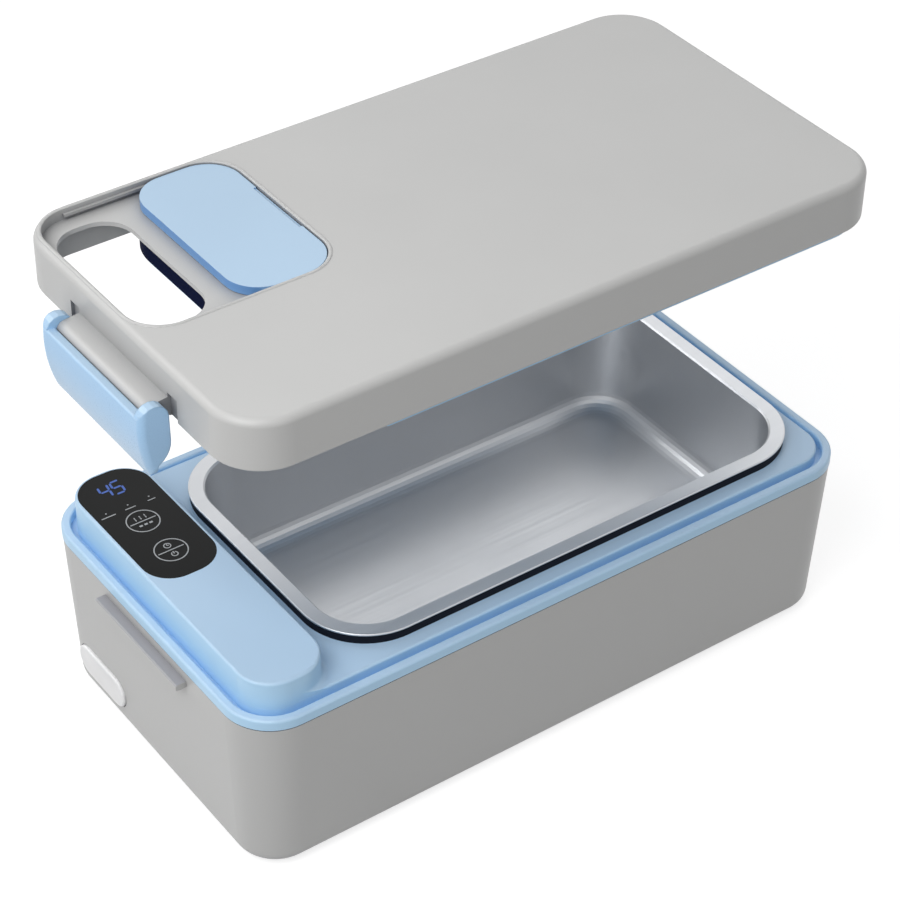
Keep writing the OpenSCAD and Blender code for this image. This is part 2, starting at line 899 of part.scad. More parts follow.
module lid_shell() {
    color([0.78, 0.78, 0.78])
        at_lid()
            difference() {
                union() {
                    carry_round(body_l, body_w, corner_r)
                        lid_profile();
                    translate([0, 0, lid_h - wall])
                        linear_extrude(wall)
                            square([body_l - 2 * corner_r, body_w - 2 * corner_r], center = true);
                    intersection() {
                        translate([recess_x, recess_y, recess_floor - recess_t])
                            plate(recess_l + 2 * recess_side, recess_w + 2 * recess_side, recess_r + recess_side,
                                lid_h - wall - recess_floor + recess_t + 0.5);
                        translate([0, 0, recess_floor - recess_t])
                            plate(body_l - 2, body_w - 2, corner_r - 1, lid_h);
                    }
                    translate([recess_x, recess_y, lid_h + bead_h - bead_r])
                        carry_round(recess_l, recess_w, recess_r)
                            translate([recess_r + bead_r - 0.1, 0])
                                circle(bead_r);
                    for (side = [-1, 1])
                        at_end(side)
                            knuckle();
                    for (x = liner_screw_x, y = [-1, 1])
                        translate([x, y * liner_screw_y, liner_top])
                            cylinder(r = 2.8, h = lid_h - wall / 2 - liner_top);
                }
                recess_space();
                translate([hole_x, hole_y, recess_floor - recess_t - cut])
                    plate(hole_l, hole_w, hole_r, recess_t + 2 * cut);
                for (side = [-1, 1], ear = [-1, 1])
                    at_end(side)
                        translate([-pocket_d, min(ear * knuckle_w / 2, ear * (latch_w / 2 + 1.6)), -cut])
                            cube([pocket_d + cut, (latch_w - knuckle_w) / 2 + 1.6, cut + pocket_h]);
                for (x = liner_screw_x, y = [-1, 1])
                    translate([x, y * liner_screw_y, liner_top - cut])
                        cylinder(r = small_r + turn_fit, h = cut + 4.2);
            }
}

// Outline of the liner: the body's corners at the right, wider ones at the
// window end
module liner_outline(inset) {
    reach = body_l;
    intersection() {
        rrect(body_l - 2 * (liner_in + inset), body_w - 2 * (liner_in + inset), corner_r - liner_in - inset);
        translate([liner_x0 + inset + reach / 2, 0])
            rrect(reach, body_w - 2 * (liner_in + inset), liner_left_r - inset);
    }
}

module liner_wall(low, high) {
    translate([0, 0, low])
        linear_extrude(high - low)
            difference() {
                liner_outline(0);
                liner_outline(liner_t);
            }
}

module lid_liner() {
    ceiling = liner_top - liner_t;
    color([0.62, 0.78, 0.92])
        at_lid()
            difference() {
                union() {
                    translate([0, 0, ceiling])
                        linear_extrude(liner_t)
                            liner_outline(0);
                    liner_wall(liner_step, ceiling + 0.5);
                    intersection() {
                        liner_wall(-tongue_h, liner_step + 0.5);
                        translate([tongue_x0, -body_w / 2, -lid_h])
                            cube([body_l, body_w, 2 * lid_h]);
                    }
                    at_tray()
                        carry_round(tray_l, tray_w, tray_r)
                            for (x = [gasket_x[0] - 0.2 - rib_t, gasket_x[1] + 0.2])
                                translate([x, ceiling - 2])
                                    square([rib_t, 2.5]);
                }
                for (x = liner_screw_x, y = [-1, 1])
                    translate([x, y * liner_screw_y, ceiling - cut])
                        cylinder(r = small_r + turn_fit, h = liner_t + 2 * cut);
            }
}

module lid_gasket() {
    color([0.9, 0.9, 0.88])
        at_lid()
            at_tray()
                carry_round(tray_l, tray_w, tray_r)
                    translate([gasket_x[0], gasket_z])
                        square([gasket_x[1] - gasket_x[0], liner_top - liner_t - gasket_z]);
}

module lid_insulation() {
    x0 = recess_x + recess_l / 2 + 5;
    x1 = body_l / 2 - 8;
    color([0.93, 0.92, 0.88])
        at_lid()
            translate([(x0 + x1) / 2, 0, liner_top])
                plate(x1 - x0, 2 * liner_screw_y - 8, 8, lid_h - wall - liner_top - 0.2);
}

module liner_screws() {
    color([0.7, 0.71, 0.73])
        at_lid()
            for (x = liner_screw_x, y = [-1, 1])
                translate([x, y * liner_screw_y, liner_top - liner_t - small_head_h])
                    screw(small_head_r, small_head_h, small_r, liner_t + 4);
}

// Strip on the liner's end wall, which wraps its corners
module liner_seal() {
    color([0.07, 0.13, 0.27])
        at_lid()
            translate([0, 0, seal_z])
                linear_extrude(liner_top - seal_z)
                    intersection() {
                        difference() {
                            liner_outline(-seal_t);
                            liner_outline(0);
                        }
                        translate([liner_x0 - cut, -body_w / 2])
                            square([seal_l + cut, body_w]);
                    }
}

module shutter() {
    low = recess_floor + 0.2;
    groove_in = rail_out - (recess_w - shutter_w) / 2 + fit;
    color([0.68, 0.81, 0.92])
        at_lid()
            translate([shutter_x, recess_y, 0])
                difference() {
                    translate([0, 0, low])
                        plate(shutter_l, shutter_w, shutter_r, shutter_t);
                    for (side = [-1, 1])
                        translate([0, side * shutter_w / 2, rail_z + rail_h / 2])
                            cube([2 * shutter_l, 2 * groove_in, rail_h + 0.4], center = true);
                    translate([shutter_l / 2, 0, low + shutter_t])
                        cube([2 * notch_w, notch_l, 2 * notch_d], center = true);
                }
}

// Latches

module latch_sweep_disc() {
    translate(latch_sweep)
        circle(latch_sweep_r, $fn = 240);
}

// Ear seen from the side: a round top, a rounder heel and the line between them
module ear_shape() {
    d = heel - ear_top;
    turn = 360 + atan2(d[1], d[0]) - acos((ear_r - heel_r) / norm(d));
    front = atan2(ear_top[1] - latch_sweep[1], ear_top[0] - latch_sweep[0]);
    reach = 20;
    intersection() {
        latch_sweep_disc();
        polygon(concat(
            arc(ear_top[0], ear_top[1], ear_r, front, turn),
            arc(heel[0], heel[1], heel_r, turn, 270),
            [[reach, heel[1] - heel_r], [reach, ear_top[1] + ear_r * sin(front)]]
        ));
    }
}

module latch_plate_shape() {
    round_z = plate_top - plate_top_r;
    round_x = latch_sweep[0] + sqrt(pow(latch_sweep_r, 2) - pow(latch_sweep[1] - round_z, 2)) - plate_top_r;
    difference() {
        intersection() {
            latch_sweep_disc();
            union() {
                translate([plate_back, -latch_drop])
                    square([14, latch_drop + round_z]);
                translate([plate_back, -latch_drop])
                    square([round_x - plate_back, latch_drop + plate_top]);
                translate([round_x, round_z])
                    circle(plate_top_r);
            }
        }
        circle(knuckle_r + 0.5);
    }
}

module latch_nib_shape() {
    translate([nib_back, -latch_drop])
        square([plate_back - nib_back + 0.5, latch_drop + hook_top]);
}

// Rounds the latch's upright edges and its lower corners
module latch_envelope() {
    high = 40;
    intersection() {
        translate([latch_sweep[0], 0, latch_sweep[1]])
            rotate([90, 0, 0])
                rotate_extrude($fn = 240)
                    intersection() {
                        rrect(2 * latch_sweep_r, latch_w, latch_side_r);
                        translate([latch_sweep_r / 2, -latch_w / 2])
                            square([latch_sweep_r, latch_w]);
                    }
        translate([-high / 2, 0, high / 2 - latch_drop])
            rotate([90, 0, 90])
                linear_extrude(high)
                    rrect(latch_w, high, latch_low_r);
    }
}

module latch() {
    translate([pivot_out, 0, lid_z0 + pivot_up])
        rotate([0, -latch_open, 0])
            difference() {
                intersection() {
                    union() {
                        for (side = [-1, 1])
                            translate([0, side * (latch_w - ear_t) / 2 + ear_t / 2, 0])
                                rotate([90, 0, 0])
                                    linear_extrude(ear_t)
                                        ear_shape();
                        translate([0, latch_w / 2, 0])
                            rotate([90, 0, 0])
                                linear_extrude(latch_w)
                                    latch_plate_shape();
                        translate([0, knuckle_w / 2, 0])
                            rotate([90, 0, 0])
                                linear_extrude(knuckle_w)
                                    latch_nib_shape();
                    }
                    latch_envelope();
                }
                translate([0, latch_w / 2 - ear_t + ear_bore, 0])
                    rotate([90, 0, 0])
                        cylinder(r = pin_r + turn_fit, h = latch_w - 2 * (ear_t - ear_bore));
            }
}

module latch_pin() {
    pin_l = latch_w - 2 * (ear_t - ear_bore) - 0.2;
    translate([pivot_out, pin_l / 2, lid_z0 + pivot_up])
        rotate([90, 0, 0])
            cylinder(r = pin_r, h = pin_l);
}

module latch_left() {
    color([0.68, 0.81, 0.92])
        at_end(-1)
            latch();
}

module latch_right() {
    color([0.68, 0.81, 0.92])
        at_end(1)
            latch();
}

module latch_pin_left() {
    color([0.7, 0.71, 0.73])
        at_end(-1)
            latch_pin();
}

module latch_pin_right() {
    color([0.7, 0.71, 0.73])
        at_end(1)
            latch_pin();
}

base_shell();
bottom_cover();
rubber_feet();
bottom_screws();
deck_frame();
display_window();
display_board();
board_screws();
heating_well();
tray_seal();
well_screws();
heat_plate();
heater_film();
temperature_sensor();
thermal_fuse();
insulation_jacket();
battery_cells();
battery_holder();
control_board();
charge_socket();
wire_harness();
port_cover();
food_tray();
lid_shell();
lid_liner();
lid_gasket();
lid_insulation();
liner_screws();
liner_seal();
shutter();
latch_left();
latch_right();
latch_pin_left();
latch_pin_right();
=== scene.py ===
import json
import math

import bmesh
import bpy
from mathutils import Matrix, Vector


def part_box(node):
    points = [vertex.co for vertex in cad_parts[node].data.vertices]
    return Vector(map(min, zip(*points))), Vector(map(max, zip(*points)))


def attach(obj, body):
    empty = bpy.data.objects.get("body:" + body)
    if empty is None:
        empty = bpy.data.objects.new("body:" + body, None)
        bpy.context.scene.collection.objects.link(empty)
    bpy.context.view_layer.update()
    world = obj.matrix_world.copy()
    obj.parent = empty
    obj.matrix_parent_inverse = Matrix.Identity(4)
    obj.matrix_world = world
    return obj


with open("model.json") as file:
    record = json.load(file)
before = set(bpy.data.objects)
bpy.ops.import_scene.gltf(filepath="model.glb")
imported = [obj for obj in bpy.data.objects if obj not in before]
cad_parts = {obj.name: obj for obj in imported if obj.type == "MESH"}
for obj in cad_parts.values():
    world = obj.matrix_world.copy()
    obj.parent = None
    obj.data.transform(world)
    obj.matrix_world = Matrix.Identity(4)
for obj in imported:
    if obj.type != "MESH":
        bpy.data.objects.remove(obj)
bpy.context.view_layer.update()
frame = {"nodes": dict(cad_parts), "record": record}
nodes = frame["nodes"]
print("frame loaded:", len(nodes), "nodes")

mm = 0.001


def toLinear(red, green, blue):
    # 0-255 screen colour to linear
    def one(level):
        level = level / 255
        return level / 12.92 if level <= 0.04045 else ((level + 0.055) / 1.055) ** 2.4
    return (one(red), one(green), one(blue), 1.0)


def scaled(colour, amount):
    return (colour[0] * amount, colour[1] * amount, colour[2] * amount, 1.0)


plainWhite = (1.0, 1.0, 1.0, 1.0)
palette = {
    "shellGrey": toLinear(199, 199, 198),
    # painted shade for upright grey faces
    "greySideShade": toLinear(194, 194, 193),
    # painted shade for the level faces of the base shell, the catch ridge tops among them
    "ridgeGrey": toLinear(164, 164, 169),
    # painted shade in grey creases
    "greyCreaseShade": toLinear(96, 98, 104),
    "coverGrey": toLinear(150, 150, 150),
    "deckBlue": toLinear(190, 218, 243),
    "lidBlue": toLinear(181, 209, 234),
    # painted shade for upright faces of the collar
    "sideShadeBlue": toLinear(184, 223, 252),
    # painted shade for upright faces of the latches
    "lidSideShadeBlue": toLinear(165, 205, 241),
    # painted shade for upright faces of the shutter, darker as if shadowed by its recess
    "shutterSideShadeBlue": toLinear(104, 152, 208),
    # painted shade in blue creases
    "blueCreaseShade": toLinear(160, 205, 247),
    # a dark strip where there is only shade: painted shade on the end of the lid liner
    "paintedShadeNavy": toLinear(5, 16, 50),
    # a near-black ring where there is only shade: painted shadow under the tray's flange
    "paintedShadeBlack": toLinear(10, 14, 26),
    "panelBlack": toLinear(10, 11, 11),
    "portWhite": toLinear(249, 249, 250),
    "digitBlue": toLinear(60, 94, 172),
    "printWhite": toLinear(178, 181, 183),
    "feetBlack": toLinear(45, 45, 47),
    "screwSteel": toLinear(190, 190, 192),
    "traySteel": toLinear(197, 199, 202),
    "wellMetal": toLinear(120, 124, 132),
    "plateMetal": toLinear(190, 192, 195),
    "fuseBrass": toLinear(200, 178, 120),
    "boardGreen": toLinear(25, 92, 52),
    "filmAmber": toLinear(190, 110, 30),
    "sensorWhite": toLinear(220, 218, 210),
    "feltWhite": toLinear(215, 212, 204),
    "cellBlue": toLinear(50, 110, 180),
    "holderBlack": toLinear(40, 40, 42),
    "wireWhite": toLinear(205, 205, 205),
    "siliconeWhite": toLinear(228, 228, 224),
}


def addNode(tree, kind, **values):
    node = tree.nodes.new(kind)
    for key, value in values.items():
        setattr(node, key, value)
    return node


def setInputs(node, **values):
    for key, value in values.items():
        node.inputs[key].default_value = value


def newGroup(name, inputs, outputs):
    # inputs are floats unless their value is a tuple, outputs are floats
    group = bpy.data.node_groups.new(name, "ShaderNodeTree")
    for label, value in inputs.items():
        kind = "NodeSocketVector" if isinstance(value, tuple) else "NodeSocketFloat"
        group.interface.new_socket(label, in_out="INPUT", socket_type=kind).default_value = value
    for label in outputs:
        group.interface.new_socket(label, in_out="OUTPUT", socket_type="NodeSocketFloat")
    return group, group.nodes.new("NodeGroupInput").outputs, group.nodes.new("NodeGroupOutput").inputs


def mathNode(tree, operation, first, second=None, clamp=False):
    node = addNode(tree, "ShaderNodeMath", operation=operation, use_clamp=clamp)
    for index, value in enumerate((first, second)):
        if isinstance(value, (int, float)):
            node.inputs[index].default_value = value
        elif value is not None:
            tree.links.new(value, node.inputs[index])
    return node.outputs[0]


def noiseNode(tree, vector, scale, detail=3.0, roughness=0.5):
    node = addNode(tree, "ShaderNodeTexNoise")
    setInputs(node, Detail=detail, Roughness=roughness)
    if isinstance(scale, (int, float)):
        node.inputs["Scale"].default_value = scale
    else:
        tree.links.new(scale, node.inputs["Scale"])
    tree.links.new(vector, node.inputs["Vector"])
    return node.outputs["Fac"]


def rangeNode(tree, value, low, high, fromLow=0.3, fromHigh=0.7):
    node = addNode(tree, "ShaderNodeMapRange")
    setInputs(node, **{"From Min": fromLow, "From Max": fromHigh, "To Min": low, "To Max": high})
    tree.links.new(value, node.inputs["Value"])
    return node.outputs[0]


def objectPlace(tree):
    return addNode(tree, "ShaderNodeTexCoord").outputs["Object"]


def buildMouldedGrain():
    # fine spark-eroded grain of moulded plastic, with a slow cloudiness
    group, given, out = newGroup(
        "mouldedGrain",
        {"Grain Scale": 2600.0, "Cloud Scale": 22.0},
        ("Grain", "Cloud"),
    )
    place = objectPlace(group)
    group.links.new(noiseNode(group, place, given["Grain Scale"], detail=2.0, roughness=0.6), out["Grain"])
    group.links.new(noiseNode(group, place, given["Cloud Scale"]), out["Cloud"])
    return group


wearForm = {
    "patchDetail": 4.0,
    "patchBreakup": 0.55,
    "patchFrom": 0.48,
    "patchTo": 0.72,
    "scuffStretch": (1.0, 14.0, 5.0),
    "scuffTurn": (0.3, 0.2, 0.6),
    "scuffDetail": 2.0,
    "scuffFrom": 0.70,
    "scuffTo": 0.78,
}


def buildHandlingWear():
    # faint rubbed patches and short hairline scuffs
    group, given, out = newGroup(
        "handlingWear",
        {"Patch Scale": 14.0, "Scuff Scale": 90.0, "Amount": 0.5},
        ("Rubbed", "Scuffs"),
    )
    w = wearForm
    place = objectPlace(group)
    patches = noiseNode(group, place, given["Patch Scale"], w["patchDetail"], w["patchBreakup"])
    rubbed = rangeNode(group, patches, 0.0, 1.0, w["patchFrom"], w["patchTo"])
    stretch = addNode(group, "ShaderNodeMapping")
    setInputs(stretch, Scale=w["scuffStretch"], Rotation=w["scuffTurn"])
    group.links.new(place, stretch.inputs["Vector"])
    lines = noiseNode(group, stretch.outputs["Vector"], given["Scuff Scale"], w["scuffDetail"])
    scuffs = rangeNode(group, lines, 0.0, 1.0, w["scuffFrom"], w["scuffTo"])
    group.links.new(mathNode(group, "MULTIPLY", rubbed, given["Amount"]), out["Rubbed"])
    group.links.new(mathNode(group, "MULTIPLY", scuffs, given["Amount"]), out["Scuffs"])
    return group


def buildBrushedLines():
    # long drawn or brushed lines along one direction
    group, given, out = newGroup(
        "brushedLines",
        {"Along": (4.0, 900.0, 900.0), "Contrast": 1.0, "Cloud Scale": 18.0},
        ("Height", "Streak", "Cloud"),
    )
    place = objectPlace(group)
    stretch = addNode(group, "ShaderNodeVectorMath", operation="MULTIPLY")
    group.links.new(place, stretch.inputs[0])
    group.links.new(given["Along"], stretch.inputs[1])
    fine = noiseNode(group, stretch.outputs[0], scale=1.0, roughness=0.6)
    group.links.new(mathNode(group, "MULTIPLY", fine, given["Contrast"]), out["Height"])
    group.links.new(fine, out["Streak"])
    group.links.new(noiseNode(group, place, given["Cloud Scale"]), out["Cloud"])
    return group


def buildFibre():
    # matted fibres of felt, or the cells of foam
    group, given, out = newGroup("fibre", {"Fibre Scale": 700.0, "Mat Scale": 260.0}, ("Height", "Shade"))
    place = objectPlace(group)
    cells = addNode(group, "ShaderNodeTexVoronoi", feature="F1")
    group.links.new(place, cells.inputs["Vector"])
    group.links.new(given["Fibre Scale"], cells.inputs["Scale"])
    shade = noiseNode(group, place, given["Mat Scale"], detail=4.0, roughness=0.65)
    group.links.new(mathNode(group, "ADD", cells.outputs["Distance"], shade), out["Height"])
    group.links.new(shade, out["Shade"])
    return group


def buildCreaseShade():
    # masks for painted shade: how closely walls stand round a point, for painted shade in creases, and how upright
    # its face is, for painted shade on upright faces
    # a point starts to be closed in below one openness and is fully so at the other
    group, given, out = newGroup(
        "creaseShade",
        {"Reach": 5.0 * mm, "Depth": 0.9, "Starts At": 0.72, "Ends At": 0.1},
        ("Closed In", "Upright"),
    )
    openness = addNode(group, "ShaderNodeAmbientOcclusion", samples=6)
    group.links.new(given["Reach"], openness.inputs["Distance"])
    closed = addNode(group, "ShaderNodeMapRange")
    group.links.new(given["Starts At"], closed.inputs["From Min"])
    group.links.new(given["Ends At"], closed.inputs["From Max"])
    group.links.new(openness.outputs["AO"], closed.inputs["Value"])
    group.links.new(mathNode(group, "MULTIPLY", closed.outputs[0], given["Depth"]), out["Closed In"])
    face = addNode(group, "ShaderNodeSeparateXYZ")
    group.links.new(addNode(group, "ShaderNodeTexCoord").outputs["Normal"], face.inputs[0])
    rise = mathNode(group, "ABSOLUTE", face.outputs["Z"])
    group.links.new(mathNode(group, "SUBTRACT", 1.0, rise, clamp=True), out["Upright"])
    return group


effects = {
    "mouldedGrain": buildMouldedGrain(),
    "creaseShade": buildCreaseShade(),
    "handlingWear": buildHandlingWear(),
    "brushedLines": buildBrushedLines(),
    "fibre": buildFibre(),
}
print("shared effects built:", len(effects))


def placeEffect(tree, name, **values):
    node = addNode(tree, "ShaderNodeGroup", node_tree=effects[name])
    setInputs(node, **values)
    return node.outputs


def newMaterial(name):
    material = bpy.data.materials.new(name)
    material.use_nodes = True
    tree = material.node_tree
    return material, tree, tree.nodes["Principled BSDF"]


def mixColour(tree, factor, first, second):
    node = addNode(tree, "ShaderNodeMix", data_type="RGBA")
    for index, value in ((6, first), (7, second)):  # the colour sockets A and B
        if isinstance(value, tuple):
            node.inputs[index].default_value = value
        else:
            tree.links.new(value, node.inputs[index])
    tree.links.new(factor, node.inputs[0])
    return node.outputs[2]


def shadeBetween(tree, mask, colour, low, high):
    return mixColour(tree, rangeNode(tree, mask, 0.0, 1.0), scaled(colour, low), scaled(colour, high))


def addBump(tree, shader, height, strength, distance, rounded=0.0):
    bump = addNode(tree, "ShaderNodeBump")
    setInputs(bump, Strength=strength, Distance=distance)
    tree.links.new(height, bump.inputs["Height"])
    if rounded:  # soft moulded edges
        edge = addNode(tree, "ShaderNodeBevel", samples=4)
        setInputs(edge, Radius=rounded)
        tree.links.new(edge.outputs["Normal"], bump.inputs["Normal"])
    tree.links.new(bump.outputs["Normal"], shader.inputs["Normal"])


plasticForm = {
    "grainDepth": 0.15 * mm,
    "roughSpread": 0.05,
    "rubbedShine": 0.10,
    "scuffMix": 0.12,
    "scuffLight": 1.15,
    "coatRoughness": 0.2,
}


def mouldedPlastic(name, colour, roughness, grain=0.10, grainScale=2600.0, tint=0.035, coat=0.0, wear=0.25,
                   side=None, creaseShade=None, reach=4.0 * mm, startsAt=0.72, specular=0.5, rounded=0.0):
    # the side colour is painted shade on the upright faces, and the crease colour is painted shade in the corners
    # that walls close in
    form = plasticForm
    colour = palette[colour]
    material, tree, shader = newMaterial(name)
    body = placeEffect(tree, "mouldedGrain", **{"Grain Scale": grainScale})
    worn = placeEffect(tree, "handlingWear", Amount=wear)
    base = shadeBetween(tree, body["Cloud"], colour, 1 - tint, 1 + tint)
    if side:
        shape = placeEffect(tree, "creaseShade", **{"Reach": reach, "Starts At": startsAt})
        # painted shade on upright faces
        base = mixColour(tree, shape["Upright"], base, palette[side])
        # painted shade in the corners that walls close in
        base = mixColour(tree, shape["Closed In"], base, palette[creaseShade])
    scuffs = mathNode(tree, "MULTIPLY", worn["Scuffs"], form["scuffMix"])
    base = mixColour(tree, scuffs, base, scaled(colour, form["scuffLight"]))
    tree.links.new(base, shader.inputs["Base Color"])
    rough = rangeNode(tree, body["Grain"], roughness - form["roughSpread"], roughness + form["roughSpread"])
    rubbed = mathNode(tree, "MULTIPLY", worn["Rubbed"], form["rubbedShine"])
    tree.links.new(mathNode(tree, "SUBTRACT", rough, rubbed), shader.inputs["Roughness"])
    addBump(tree, shader, body["Grain"], grain, form["grainDepth"], rounded)
    setInputs(shader, **{
        "Specular IOR Level": specular, "Coat Weight": coat, "Coat Roughness": form["coatRoughness"],
    })
    return material


metalForm = {
    "lineStrength": 0.12,
    "lineDepth": 0.1 * mm,
    "streakLight": 0.5,
    "streakRough": 0.05,
    "cloudBelow": 0.03,
    "cloudAbove": 0.04,
}


def brushedMetal(name, colour, roughness, along, contrast=0.5, streaks=0.10):
    # along is how fast the lines change on each axis, slowest where they run
    form = metalForm
    colour = palette[colour]
    material, tree, shader = newMaterial(name)
    lines = placeEffect(tree, "brushedLines", Along=along, Contrast=contrast)
    base = shadeBetween(tree, lines["Streak"], colour, 1 - streaks, 1 + streaks * form["streakLight"])
    tree.links.new(base, shader.inputs["Base Color"])
    fine = rangeNode(tree, lines["Streak"], -form["streakRough"], form["streakRough"])
    slow = rangeNode(tree, lines["Cloud"], roughness - form["cloudBelow"], roughness + form["cloudAbove"])
    tree.links.new(mathNode(tree, "ADD", fine, slow), shader.inputs["Roughness"])
    setInputs(shader, Metallic=1.0)
    addBump(tree, shader, lines["Height"], form["lineStrength"], form["lineDepth"])
    return material


rubberForm = {
    "grainScale": 1400.0,
    "cloudScale": 60.0,
    "shades": (0.94, 1.04),
    "roughSpread": 0.06,
    "grain": 0.15,
    "grainDepth": 0.2 * mm,
    "sheenRoughness": 0.5,
}


def softRubber(name, colour, roughness, sheen=0.1, specular=0.5):
    form = rubberForm
    material, tree, shader = newMaterial(name)
    body = placeEffect(tree, "mouldedGrain", **{"Grain Scale": form["grainScale"], "Cloud Scale": form["cloudScale"]})
    base = shadeBetween(tree, body["Cloud"], palette[colour], *form["shades"])
    tree.links.new(base, shader.inputs["Base Color"])
    rough = rangeNode(tree, body["Grain"], roughness - form["roughSpread"], roughness + form["roughSpread"])
    tree.links.new(rough, shader.inputs["Roughness"])
    addBump(tree, shader, body["Grain"], form["grain"], form["grainDepth"])
    setInputs(shader, **{
        "Sheen Weight": sheen, "Sheen Roughness": form["sheenRoughness"], "Specular IOR Level": specular,
    })
    return material


feltForm = {"shades": (0.8, 1.08), "roughness": (0.85, 1.0), "nap": 0.6, "napDepth": 0.6 * mm}


def softFelt(name, colour):
    form = feltForm
    material, tree, shader = newMaterial(name)
    body = placeEffect(tree, "fibre")
    base = shadeBetween(tree, body["Shade"], palette[colour], *form["shades"])
    tree.links.new(base, shader.inputs["Base Color"])
    tree.links.new(rangeNode(tree, body["Shade"], *form["roughness"]), shader.inputs["Roughness"])
    addBump(tree, shader, body["Height"], form["nap"], form["napDepth"])
    return material


inkForm = {"cloudScale": 300.0, "shades": (0.92, 1.0), "roughness": 0.4}


def panelInk(name, colour, glow=0.0):
    form = inkForm
    material, tree, shader = newMaterial(name)
    body = placeEffect(tree, "mouldedGrain", **{"Cloud Scale": form["cloudScale"]})
    base = shadeBetween(tree, body["Cloud"], palette[colour], *form["shades"])
    tree.links.new(base, shader.inputs["Base Color"])
    tree.links.new(base, shader.inputs["Emission Color"])
    setInputs(shader, **{"Emission Strength": glow, "Roughness": form["roughness"]})
    return material


boardForm = {
    "trackScale": 260.0,
    "trackShift": 0.37,
    "trackWidth": 0.05,
    "trackLight": 1.9,
    "fieldLight": 1.3,
    "roughness": (0.28, 0.42),
    "relief": 0.2,
    "reliefDepth": 0.1 * mm,
}


def circuitBoard(name, colour):
    # solder mask over copper tracks
    form = boardForm
    colour = palette[colour]
    material, tree, shader = newMaterial(name)
    tracks = addNode(tree, "ShaderNodeTexBrick", offset=form["trackShift"])
    setInputs(tracks, **{
        "Scale": form["trackScale"], "Color1": colour, "Color2": scaled(colour, form["fieldLight"]),
        "Mortar": scaled(colour, form["trackLight"]), "Mortar Size": form["trackWidth"],
    })
    tree.links.new(objectPlace(tree), tracks.inputs["Vector"])
    tree.links.new(tracks.outputs["Color"], shader.inputs["Base Color"])
    rough = rangeNode(tree, tracks.outputs["Fac"], *form["roughness"], fromLow=0.0, fromHigh=1.0)
    tree.links.new(rough, shader.inputs["Roughness"])
    addBump(tree, shader, tracks.outputs["Fac"], form["relief"], form["reliefDepth"])
    return material


filmForm = {
    "trackScale": 160.0,
    "shades": (1.0, 0.35),
    "roughness": (0.2, 0.35),
    "relief": 0.2,
    "reliefDepth": 0.05 * mm,
    "coat": 0.5,
}


def heaterFilm(name, colour):
    # dark etched track under amber film
    form = filmForm
    material, tree, shader = newMaterial(name)
    track = addNode(tree, "ShaderNodeTexWave", wave_type="BANDS", bands_direction="X", wave_profile="TRI")
    setInputs(track, Scale=form["trackScale"])
    tree.links.new(objectPlace(tree), track.inputs["Vector"])
    base = shadeBetween(tree, track.outputs["Fac"], palette[colour], *form["shades"])
    tree.links.new(base, shader.inputs["Base Color"])
    tree.links.new(rangeNode(tree, track.outputs["Fac"], *form["roughness"]), shader.inputs["Roughness"])
    addBump(tree, shader, track.outputs["Fac"], form["relief"], form["reliefDepth"])
    setInputs(shader, **{"Coat Weight": form["coat"]})
    return material


# the side and crease colours of these mouldings are painted shade
greyMoulding = {"grain": 0.06, "tint": 0.015, "side": "greySideShade", "creaseShade": "greyCreaseShade"}
blueMoulding = {"grain": 0.04, "tint": 0.015, "creaseShade": "blueCreaseShade", "reach": 2.5 * mm}

finishes = {
    "shell_grey": mouldedPlastic("shellGrey", "shellGrey", 0.38, reach=9.0 * mm, startsAt=0.97, **greyMoulding),
    "cover_grey": mouldedPlastic("coverGrey", "coverGrey", 0.6, grain=0.25, grainScale=1500.0),
    "feet_rubber": softRubber("feetRubber", "feetBlack", 0.75),
    "screw_steel": brushedMetal("screwSteel", "screwSteel", 0.32, (900.0, 900.0, 30.0)),
    "collar_blue": mouldedPlastic("collarBlue", "deckBlue", 0.34, side="sideShadeBlue", **blueMoulding),
    "window_black": mouldedPlastic("windowBlack", "panelBlack", 0.35, grain=0.02, tint=0.08, wear=0.1, specular=0.15),
    "board_green": circuitBoard("boardGreen", "boardGreen"),
    "well_aluminium": brushedMetal("wellAluminium", "wellMetal", 0.4, (6.0, 700.0, 700.0)),
    "plate_aluminium": brushedMetal("plateAluminium", "plateMetal", 0.35, (6.0, 700.0, 700.0)),
    "film_amber": heaterFilm("filmAmber", "filmAmber"),
    "sensor_white": mouldedPlastic("sensorWhite", "sensorWhite", 0.5),
    "fuse_brass": brushedMetal("fuseBrass", "fuseBrass", 0.3, (30.0, 900.0, 900.0)),
    "felt_white": softFelt("feltWhite", "feltWhite"),
    "cell_blue": mouldedPlastic("cellBlue", "cellBlue", 0.3, grain=0.03, coat=0.4),
    "holder_black": mouldedPlastic("holderBlack", "holderBlack", 0.55),
    "wire_white": softRubber("wireWhite", "wireWhite", 0.45),
    "port_white": softRubber("portWhite", "portWhite", 0.42, sheen=0.0),
    "tray_steel": brushedMetal("traySteel", "traySteel", 0.4, (9.0, 900.0, 900.0), contrast=0.02, streaks=0.015),
    "silicone_white": softRubber("siliconeWhite", "siliconeWhite", 0.55),
    # painted shade: a navy strip on the lid liner's end, where there is only shade
    "seal_navy": softRubber("paintedShadeNavy", "paintedShadeNavy", 0.7, sheen=0.0, specular=0.03),
    # painted shadow: a near-black seal ring under the tray's flange
    "seal_black": softRubber("paintedShadeBlack", "paintedShadeBlack", 0.65, sheen=0.0, specular=0.15),
    "shutter_blue": mouldedPlastic("shutterBlue", "lidBlue", 0.34, side="shutterSideShadeBlue", rounded=0.4 * mm,
                                   **blueMoulding),
    "latch_blue": mouldedPlastic("latchBlue", "lidBlue", 0.32, side="lidSideShadeBlue", rounded=0.7 * mm, **blueMoulding),
}
